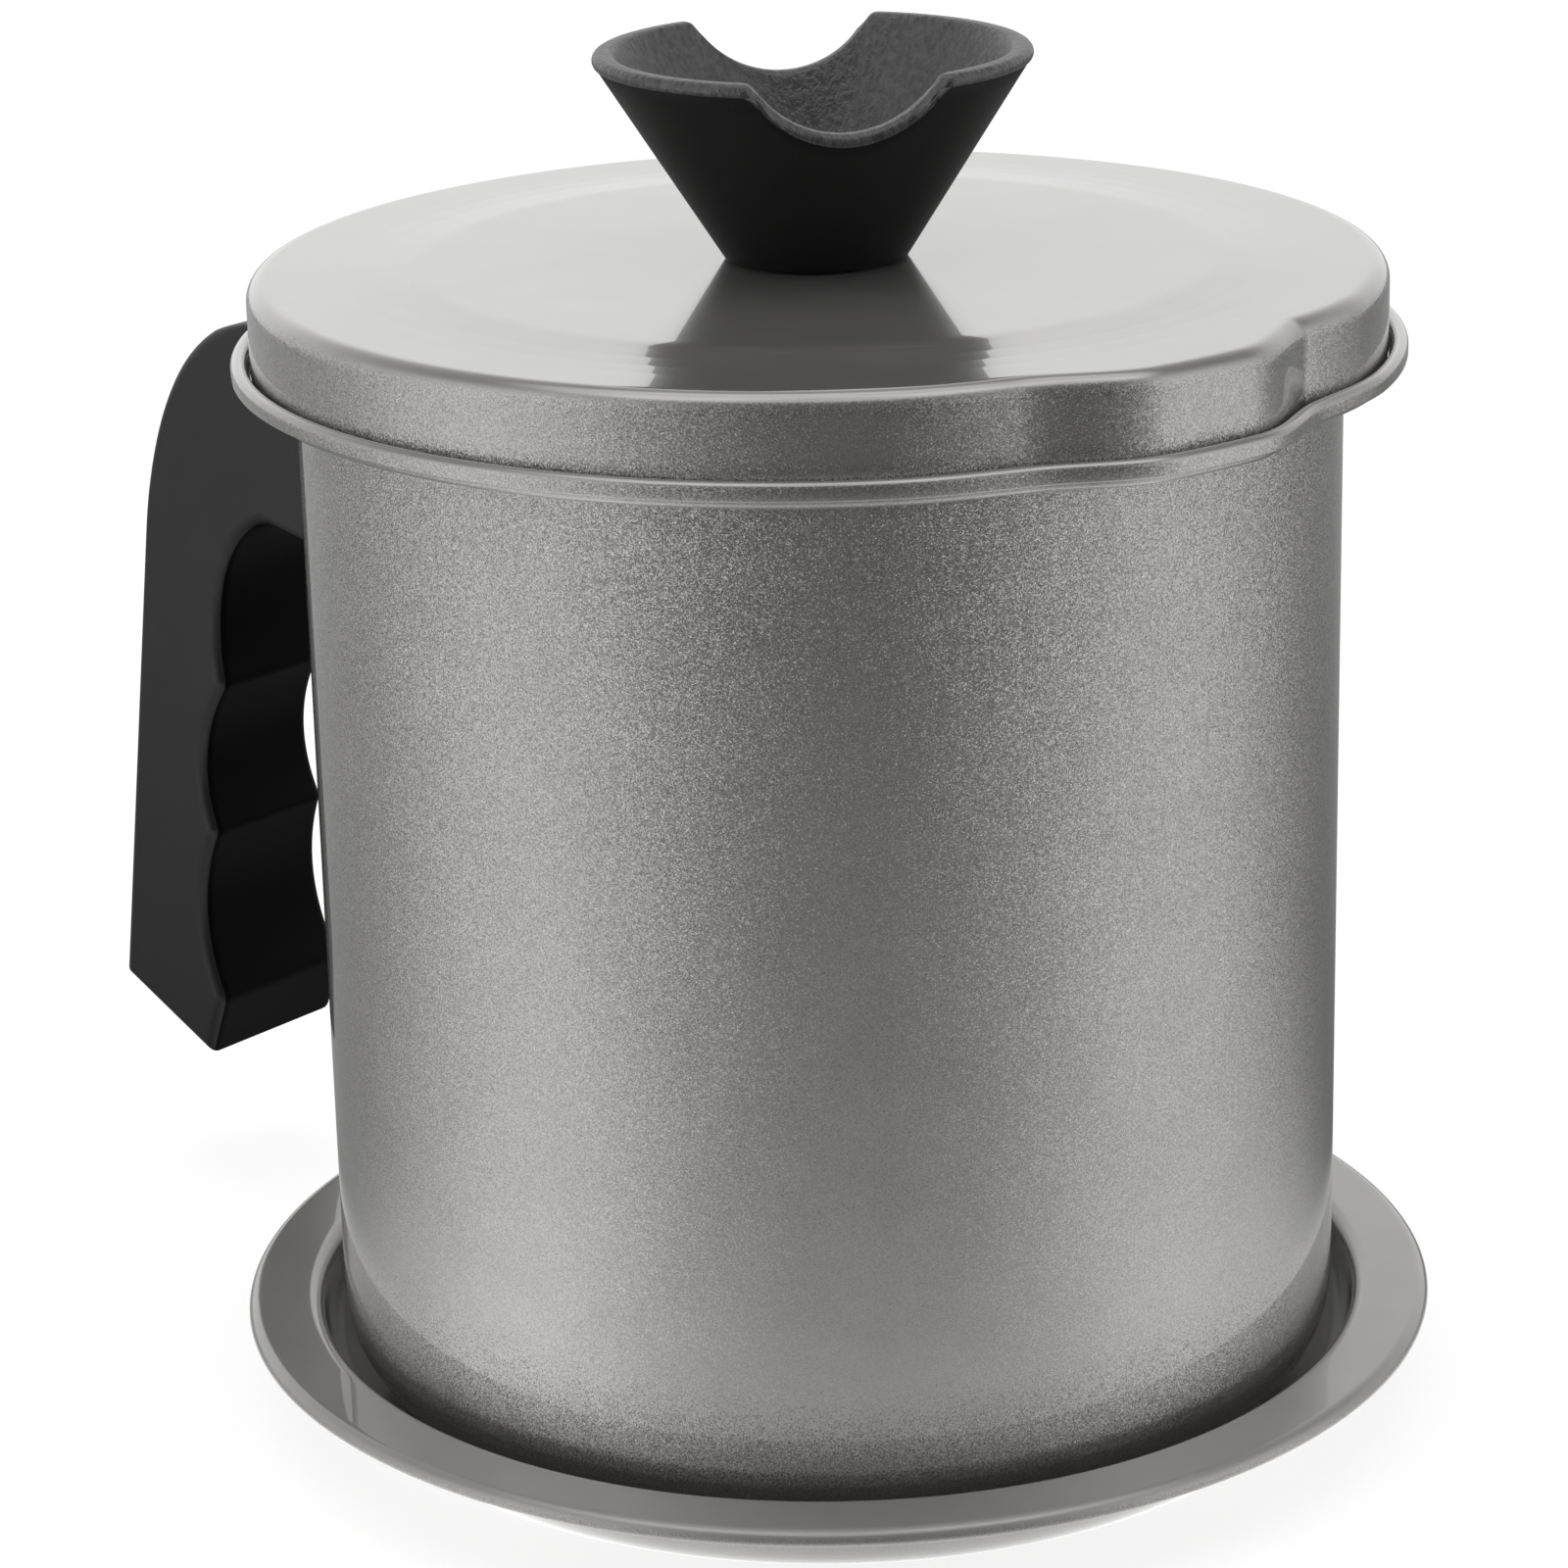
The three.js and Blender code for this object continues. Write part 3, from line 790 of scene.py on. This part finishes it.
def inset_sides(sides, distance):
    """The sides of the handle's outline moved inward, with their corners eased less for it."""
    loop = [place for run, _ in sides for place in run[:-1]]
    count = len(loop)
    moved = []
    for i, place in enumerate(loop):
        back = (place - loop[i - 1]).normalized()
        on = (loop[(i + 1) % count] - place).normalized()
        along = (back + on).normalized()
        moved.append(place + Vector((-along.y, along.x)) * (distance / along.dot(back)))
    ease_share = 1 - EDGE_EASE_LOSS * distance / GRIP_EDGE
    made, first = [], 0
    for run, ease in sides:
        last = first + len(run) - 1
        made.append((moved[first:last] + [moved[last % count]], ease * ease_share))
        first = last
    return made


def eased_loop(sides):
    """The closed loop of the sides, each corner replaced by a short curve."""
    loop = []
    for i, (run, ease) in enumerate(sides):
        start, end = sides[i - 1][1], run_length(run) - ease
        count = len(run) - 1
        middle = [along_run(run, start + (end - start) * k / count) for k in range(count + 1)]
        ahead = along_run(sides[(i + 1) % len(sides)][0], ease)
        loop += middle + curve([middle[-1], run[-1], ahead], EASE_STEPS)[:-1]
    return loop


def grip_blank():
    """The handle without its holes: side views stacked across its width, drawn in at both edges."""
    sides = grip_sides()
    half_way = ledge_top - (ARM_TOP_DROP + TOE[1]) / 2
    turns = [math.pi / 2 * k / GRIP_EDGE_STEPS for k in range(GRIP_EDGE_STEPS + 1)]
    levels = [(GRIP_EDGE * (1 - math.sin(turn)), GRIP_EDGE * (1 - math.cos(turn))) for turn in turns]
    verts, rings = [], []
    for side, order in ((-1, levels), (1, levels[::-1])):
        for inward, down in order:
            loop = eased_loop(inset_sides(sides, inward))
            rings.append(range(len(verts), len(verts) + len(loop)))
            for place in loop:
                half = (GRIP_WIDTH + GRIP_FLARE * (half_way - place.y)) / 2
                verts.append((-place.x, side * (half - down), place.y))
    return body("handle_moulding", verts, skinned(rings) + [rings[0], rings[-1]])


def grip():
    """The handle, with room for its bracket and its screw, fitted to the pot's wall."""
    piece = grip_blank()
    screw_height = (grip_screw_low.z + grip_screw_high.z) / 2

    def pocket(room, reach):
        wide, tall = room[0] / 2, room[1] / 2
        low = (-pot_radius - reach, -wide, screw_height - tall)
        return block(low, (ARM_INSET - pot_radius, wide, screw_height + tall))

    hole = turned_out(bar(SCREW_HOLE_RADIUS, 0, COUNTERBORE_REACH + GRIP_EDGE), screw_height)
    counterbore = turned_out(bar(COUNTERBORE_RADIUS, COUNTERBORE_REACH, 2 * COUNTERBORE_REACH), screw_height)
    wall = bar(pot_radius + GAP, 0, 2 * ledge_top, AROUND)
    cut(piece, wall, pocket(PLATE_ROOM, PLATE_REACH), pocket(TONGUE_ROOM, TONGUE_REACH), hole, counterbore)
    return even_shading(piece)


def faces_inward(face):
    """Whether a face of the handle looks towards the pot, or down from the arm."""
    return max(face.normal.x, -face.normal.z) > INNER_SLANT and abs(face.normal.y) < INNER_SLANT


def handle_screw():
    seat = grip_screw_low.x + HEAD_HEIGHT
    piece = turned_out(screw("handle_pan_screw", grip_screw_high.x - seat), 0, 90)
    height = (grip_screw_low.z + grip_screw_high.z) / 2
    piece.data.transform(Matrix.Translation((seat + pot_radius, 0, height)))
    return piece


def handle_washer():
    height = (grip_washer_low.z + grip_washer_high.z) / 2
    radius = grip_washer_high.y
    base, top = -pot_radius - grip_washer_high.x, -pot_radius - grip_washer_low.x
    return turned_out(washer("handle_flat_washer", SCREW_HOLE_RADIUS, radius, base, top), height)


def knob_screw():
    seat = knob_screw_low.z + HEAD_HEIGHT
    piece = screw("knob_pan_screw", knob_screw_high.z - seat)
    piece.data.transform(Matrix.Translation((0, 0, seat)))
    return piece


def knob_washer():
    radius = knob_washer_high.x
    return washer("knob_flat_washer", SCREW_HOLE_RADIUS, radius, knob_washer_low.z, knob_washer_high.z)


# Materials

def node(tree, kind, inputs=None, **settings):
    """A node whose inputs are set to values or linked to other nodes' outputs."""
    made = tree.nodes.new(kind)
    for setting, value in settings.items():
        setattr(made, setting, value)
    for key, value in (inputs or {}).items():
        if isinstance(value, bpy.types.NodeSocket):
            tree.links.new(value, made.inputs[key])
        else:
            made.inputs[key].default_value = value
    return made


def maths(tree, operation, *values, clamp=False):
    made = node(tree, "ShaderNodeMath", dict(enumerate(values)), operation=operation, use_clamp=clamp)
    return made.outputs[0]


def vector_maths(tree, operation, *values):
    made = node(tree, "ShaderNodeVectorMath", dict(enumerate(values)), operation=operation)
    return made.outputs["Value" if operation in ("DOT_PRODUCT", "LENGTH") else "Vector"]


def mapped(tree, value, low, high, to_low=0.0, to_high=1.0, smooth=True):
    """A value carried from one range to another, with eased ends if smooth."""
    kind = "SMOOTHSTEP" if smooth else "LINEAR"
    inputs = {0: value, 1: low, 2: high, 3: to_low, 4: to_high}
    return node(tree, "ShaderNodeMapRange", inputs, interpolation_type=kind).outputs[0]


def mixed(tree, factor, first, second, blend_type="MIX"):
    """Two colours mixed by a factor. A colour mix has its two colours on sockets 6 and 7."""
    inputs = {0: factor, 6: first, 7: second}
    return node(tree, "ShaderNodeMix", inputs, data_type="RGBA", blend_type=blend_type).outputs[2]


def surface(name, **values):
    """A material with a Principled shader, its own sockets set by name."""
    made = bpy.data.materials.new(name)
    made.use_nodes = True
    shader = made.node_tree.nodes["Principled BSDF"]
    for key, value in values.items():
        shader.inputs[key.replace("_", " ")].default_value = value
    return made, made.node_tree, shader


def grey(level, warm=0.0):
    return (level * (1 + warm), level, level * (1 - warm), 1)


def object_place(tree):
    return node(tree, "ShaderNodeTexCoord").outputs["Object"]


def scaled_noise(tree, size, detail=2, stretch=None, roughness=0.5):
    """Noise over the object at a size in metres, stretched along its axes if asked."""
    place = object_place(tree)
    if stretch:
        place = vector_maths(tree, "MULTIPLY", place, stretch)
    inputs = {"Vector": place, "Scale": 1 / size, "Detail": detail, "Roughness": roughness}
    return node(tree, "ShaderNodeTexNoise", inputs).outputs["Fac"]


def spread(tree, noise, low, high):
    """Noise carried from its usual range to another."""
    return mapped(tree, noise, NOISE_LOW, NOISE_HIGH, low, high)


def bumped(tree, shader, height, depth):
    """Gives a shader the relief of a height between 0 and 1 that stands for a depth."""
    bump = node(tree, "ShaderNodeBump", {"Height": height, "Distance": depth})
    tree.links.new(bump.outputs["Normal"], shader.inputs["Normal"])


def upward(tree, vector):
    return node(tree, "ShaderNodeSeparateXYZ", {0: vector}).outputs["Z"]


def flake_tilt(tree, place, slope):
    """How far the flakes lean: least low down and from the neck up, and not at all on level faces."""
    height = upward(tree, place)
    tilt = mapped(tree, height, tray_high.z, ledge_top, 2 * LOW_TILT, 2 * HIGH_TILT, smooth=False)
    above_neck = mapped(tree, height, ledge_top - NECK_FADE, ledge_top, 1.0, LID_TILT)
    upright = mapped(tree, slope, *FLAKE_SLOPES, 1.0, 0.0)
    return maths(tree, "MULTIPLY", maths(tree, "MULTIPLY", tilt, above_neck), upright)


def flake_lean(tree, place, tilt):
    """A vector of its own for each flake, by which it leans."""
    flakes = node(tree, "ShaderNodeTexVoronoi", {"Vector": place, "Scale": 1 / FLAKE_SIZE}).outputs["Color"]
    lean = vector_maths(tree, "SUBTRACT", flakes, (0.5, 0.5, 0.5))
    return node(tree, "ShaderNodeVectorMath", {0: lean, "Scale": tilt}, operation="SCALE").outputs["Vector"]


def flake_paint(name, level, metallic, level_roughness):
    """Grey paint with metal flakes that lie tilted under a smooth clear coat, with a painted highlight:
    flakes that lean upward are painted lighter.
    """
    base = grey(level, PAINT_WARMTH)
    made, tree, shader = surface(
        name, Base_Color=base, Metallic=metallic, Roughness=UPRIGHT_ROUGHNESS, Coat_Weight=1.0,
        Coat_Roughness=COAT_ROUGHNESS,
    )
    place = object_place(tree)
    normal = node(tree, "ShaderNodeNewGeometry").outputs["Normal"]
    slope = maths(tree, "ABSOLUTE", upward(tree, normal))
    lean = flake_lean(tree, place, flake_tilt(tree, place, slope))
    tilted = vector_maths(tree, "NORMALIZE", vector_maths(tree, "ADD", normal, lean))
    tree.links.new(tilted, shader.inputs["Normal"])
    roughness = mapped(tree, slope, *GLOSS_SLOPES, UPRIGHT_ROUGHNESS, level_roughness)
    tree.links.new(roughness, shader.inputs["Roughness"])
    metal_share = mapped(tree, slope, *GLOSS_SLOPES, metallic, LEVEL_METALLIC * metallic)
    tree.links.new(metal_share, shader.inputs["Metallic"])
    cloud = spread(tree, scaled_noise(tree, CLOUD_SIZE), *CLOUD_LEVELS)
    # Painted highlight: a flake's colour is lighter the more it leans upward, as if lit from above.
    flake_highlight = maths(tree, "MULTIPLY_ADD", upward(tree, lean), FLAKE_PAINTED_HIGHLIGHT, 1.0)
    shade = maths(tree, "MULTIPLY", cloud, flake_highlight)
    tone = mixed(tree, 1.0, base, shade, blend_type="MULTIPLY")
    tree.links.new(tone, shader.inputs["Base Color"])
    return made


def plastic(name, level, roughness, gloss):
    """Black moulded plastic with a very fine grain."""
    made, tree, shader = surface(name, Base_Color=grey(level), Roughness=roughness, Specular_IOR_Level=gloss)
    bumped(tree, shader, scaled_noise(tree, FINE_GRAIN, GRAIN_DETAIL), FINE_GRAIN_DEPTH)
    return made, tree, shader


def black_plastic():
    """The handle's satin plastic, a little glossier in some patches than in others."""
    made, tree, shader = plastic("black_plastic", HANDLE_GREY, HANDLE_ROUGHNESS, HANDLE_GLOSS)
    rough = spread(tree, scaled_noise(tree, HANDLE_PATCH), *HANDLE_ROUGHNESSES)
    tree.links.new(rough, shader.inputs["Roughness"])
    return made


def rough_plastic():
    """The knob's rim and inside, which keep the coarse grain of their mould."""
    made, tree, shader = surface(
        "rough_black_plastic", Base_Color=grey(RIM_GREYS[0]), Roughness=RIM_ROUGHNESS,
        Specular_IOR_Level=RIM_GLOSS,
    )
    grain = scaled_noise(tree, RIM_GRAIN, GRAIN_DETAIL, RIM_GRAIN_STRETCH, COARSE_NOISE)
    bumped(tree, shader, mapped(tree, grain, *RIM_GRAIN_RANGE), RIM_GRAIN_DEPTH)
    tone = mixed(tree, spread(tree, grain, 0.0, 1.0), grey(RIM_GREYS[0]), grey(RIM_GREYS[1]))
    tree.links.new(tone, shader.inputs["Base Color"])
    return made


def metal(name, base, roughness, stretch):
    """Bare metal with fine marks along the way that it was worked."""
    made, tree, shader = surface(name, Base_Color=base, Metallic=1.0, Roughness=roughness)
    marks = scaled_noise(tree, MARK_SIZE, GRAIN_DETAIL, stretch, COARSE_NOISE)
    rough = spread(tree, marks, roughness - MARK_GLOSS, roughness + MARK_DULLNESS)
    tree.links.new(rough, shader.inputs["Roughness"])
    bumped(tree, shader, marks, MARK_DEPTH)
    return made


# Studio

def towards(tree, direction, angle):
    """How far a direction points to a bearing: 1 straight to it, 0 from a right angle on."""
    along = vector_maths(tree, "DOT_PRODUCT", direction, tuple(bearing(angle, 1)))
    return maths(tree, "MAXIMUM", along, 0.0)


def studio_level(tree, direction):
    """How bright the studio is towards a level direction: two wide side lights, a dark front."""
    left = maths(tree, "POWER", towards(tree, direction, LEFT_BEARING), SIDE_FALL)
    right = maths(tree, "POWER", towards(tree, direction, RIGHT_BEARING), SIDE_FALL)
    level = maths(tree, "MULTIPLY_ADD", left, LEFT_LEVEL, FRONT_FAR)
    level = maths(tree, "MULTIPLY_ADD", right, RIGHT_LEVEL, level)
    return maths(tree, "MULTIPLY_ADD", towards(tree, direction, BACK_BEARING), BACK_LEVEL, level)


def flattened(tree, vector):
    """The level direction of a vector."""
    return vector_maths(tree, "NORMALIZE", vector_maths(tree, "MULTIPLY", vector, (1, 1, 0)))


def glowing(tree, level):
    return node(tree, "ShaderNodeEmission", {"Strength": level}).outputs[0]


def world():
    """White to the camera. To the object, a studio with side lights, a band behind and a light above."""
    made = bpy.data.worlds.new("studio")
    bpy.context.scene.world = made
    made.use_nodes = True
    tree = made.node_tree
    tree.nodes.clear()
    direction = node(tree, "ShaderNodeTexCoord").outputs["Generated"]
    level = flattened(tree, direction)
    rise = upward(tree, direction)
    behind = maths(tree, "POWER", towards(tree, level, BAND_BEARING), BAND_FALL)
    band = mapped(tree, rise, *BAND_RISES, BAND_LEVEL, BAND_HIGH_LEVEL)
    low = maths(tree, "MULTIPLY_ADD", behind, band, studio_level(tree, level))
    soft = maths(tree, "MULTIPLY", low, mapped(tree, rise, *FADE_RISES, 1.0, HIGH_SHARE))
    glow = maths(tree, "ADD", soft, mapped(tree, rise, *TOP_RISES, 0.0, TOP_LEVEL))
    seen = node(tree, "ShaderNodeLightPath").outputs["Is Camera Ray"]
    strength = node(tree, "ShaderNodeMix", {0: seen, 2: glow, 3: 1.0}).outputs[0]
    background = node(tree, "ShaderNodeBackground", {"Color": grey(1), "Strength": strength})
    node(tree, "ShaderNodeOutputWorld", {"Surface": background.outputs[0]})


def mirrored_floor(tree, place):
    """How bright polished surfaces see the floor, as a painted glow: as if lit at both sides, and in front
    only near the pot.
    """
    reach = vector_maths(tree, "LENGTH", place)
    direction = flattened(tree, place)
    near = mapped(tree, reach, NEAR_REACH, FAR_REACH, FRONT_NEAR, 0.0, smooth=False)
    front = mapped(tree, towards(tree, direction, CAMERA_BEARING), *FRONT_WIDTH)
    ring = mapped(tree, reach, NEAR_REACH, RING_REACH, RING_LEVEL, 0.0)
    near = maths(tree, "MULTIPLY_ADD", near, front, ring)
    sides = mapped(tree, reach, NEAR_REACH, FAR_REACH, SIDES_NEAR, 1.0, smooth=False)
    return maths(tree, "MULTIPLY_ADD", studio_level(tree, direction), sides, near)


def floor():
    """A pale floor that keeps the object's soft shadow. Polished surfaces see a painted glow on it, as if lit
    from the sides.
    """
    half = FLOOR_SIZE / 2
    corners = [(-half, -half, 0), (half, -half, 0), (half, half, 0), (-half, half, 0)]
    piece = body("studio_floor", corners, [(0, 1, 2, 3)])
    made = bpy.data.materials.new("studio_floor")
    made.use_nodes = True
    tree = made.node_tree
    tree.nodes.clear()
    place = node(tree, "ShaderNodeNewGeometry").outputs["Position"]
    paths = node(tree, "ShaderNodeLightPath").outputs
    shown = maths(tree, "ADD", paths["Is Camera Ray"], paths["Is Transmission Ray"], clamp=True)
    matt = node(tree, "ShaderNodeBsdfDiffuse", {"Color": grey(FLOOR_WHITE)}).outputs[0]
    glow = glowing(tree, maths(tree, "MULTIPLY", shown, FLOOR_GLOW))
    lit = node(tree, "ShaderNodeAddShader", {0: matt, 1: glow}).outputs[0]
    # Painted reflection: glossy rays see the floor glow in a set pattern rather than its lit shading.
    mirrored = glowing(tree, mirrored_floor(tree, place))
    both = node(tree, "ShaderNodeMixShader", {0: paths["Is Glossy Ray"], 1: lit, 2: mirrored}).outputs[0]
    node(tree, "ShaderNodeOutputMaterial", {"Surface": both})
    piece.data.materials.append(made)


def camera():
    """A camera at the photograph's place, turned by its pitch, yaw and roll."""
    lens = bpy.data.cameras.new("camera")
    lens.sensor_width = SENSOR_WIDTH
    lens.lens = FOCAL_PIXELS * SENSOR_WIDTH / FRAME_PIXELS
    lens.clip_start = CLIP_START
    made = bpy.data.objects.new("camera", lens)
    bpy.context.scene.collection.objects.link(made)
    facing = Matrix.Rotation(math.radians(CAMERA_BEARING + 90 - CAMERA_YAW), 4, "Z")
    pitch = Matrix.Rotation(math.radians(90 - CAMERA_PITCH), 4, "X")
    roll = Matrix.Rotation(math.radians(CAMERA_ROLL), 4, "Z")
    place = Matrix.Translation(bearing(CAMERA_BEARING, CAMERA_REACH, CAMERA_HEIGHT))
    made.matrix_world = place @ facing @ pitch @ roll
    bpy.context.scene.camera = made


def place_piece(piece, node_name, body_name, slot, *finishes):
    """Gives a piece its materials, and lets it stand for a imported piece."""
    for finish in finishes:
        piece.data.materials.append(finish)
    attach(piece, body_name)
    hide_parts(node_name)


def finish_packed(node_name, finish):
    """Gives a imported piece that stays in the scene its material."""
    mesh = frame["nodes"][node_name].data
    mesh.materials.clear()
    mesh.materials.append(finish)


def place_handle():
    """The handle, with painted shade on its inner faces: a darker, less glossy copy of its plastic."""
    piece = grip()
    # Painted shade: faces that look towards the pot or down from the arm get a darker, duller plastic.
    inner, _, _ = plastic("shaded_inner_plastic", INNER_SHADE_GREY, MATT_ROUGHNESS, INNER_SHADE_GLOSS)
    place_piece(piece, "handle_grip", "pot", "black_plastic", black_plastic(), inner)
    for face in piece.data.polygons:
        face.material_index = 1 if faces_inward(face) else 0


def place_knob():
    """The knob, with a rough finish on its rim and inside."""
    piece, first_rough_face = knob()
    satin, _, _ = plastic("knob_plastic", KNOB_GREY, MATT_ROUGHNESS, KNOB_GLOSS)
    place_piece(piece, "lid_knob", "lid", "black_plastic", satin, rough_plastic())
    for face in piece.data.polygons:
        face.material_index = 0 if face.index < first_rough_face else 1


def build():
    paint = flake_paint("flake_paint", POT_GREY, POT_METALLIC, POT_LEVEL_ROUGHNESS)
    tray_paint = flake_paint("tray_paint", TRAY_GREY, TRAY_METALLIC, TRAY_LEVEL_ROUGHNESS)
    steel = metal("steel", STEEL, STEEL_ROUGHNESS, ROUND_MARKS)
    wires = metal("wire_steel", WIRE, WIRE_ROUGHNESS, EVEN_MARKS)
    brass = metal("brass", BRASS, BRASS_ROUGHNESS, ROUND_MARKS)

    place_piece(tray(), "drip_tray", "tray", "tray_paint", tray_paint)
    place_piece(pot(), "pot_body", "pot", "flake_paint", paint)
    place_handle()
    place_piece(handle_screw(), "handle_screw", "pot", "steel", steel)
    place_piece(handle_washer(), "handle_washer", "pot", "steel", steel)
    place_piece(strainer_basket(), "strainer_cup", "strainer", "steel", steel)
    place_piece(strainer_weave(), "strainer_mesh", "strainer", "steel", wires)
    place_piece(strainer_band(), "strainer_ring", "strainer", "steel", steel)
    place_piece(lid(), "lid_shell", "lid", "flake_paint", paint)
    place_knob()
    place_piece(knob_screw(), "knob_screw", "lid", "steel", steel)
    place_piece(knob_washer(), "knob_washer", "lid", "steel", steel)
    finish_packed("handle_bracket", steel)
    finish_packed("knob_insert", brass)


bpy.context.scene.view_settings.view_transform = "Standard"
camera()
world()
floor()
build()

bpy.context.view_layer.update()
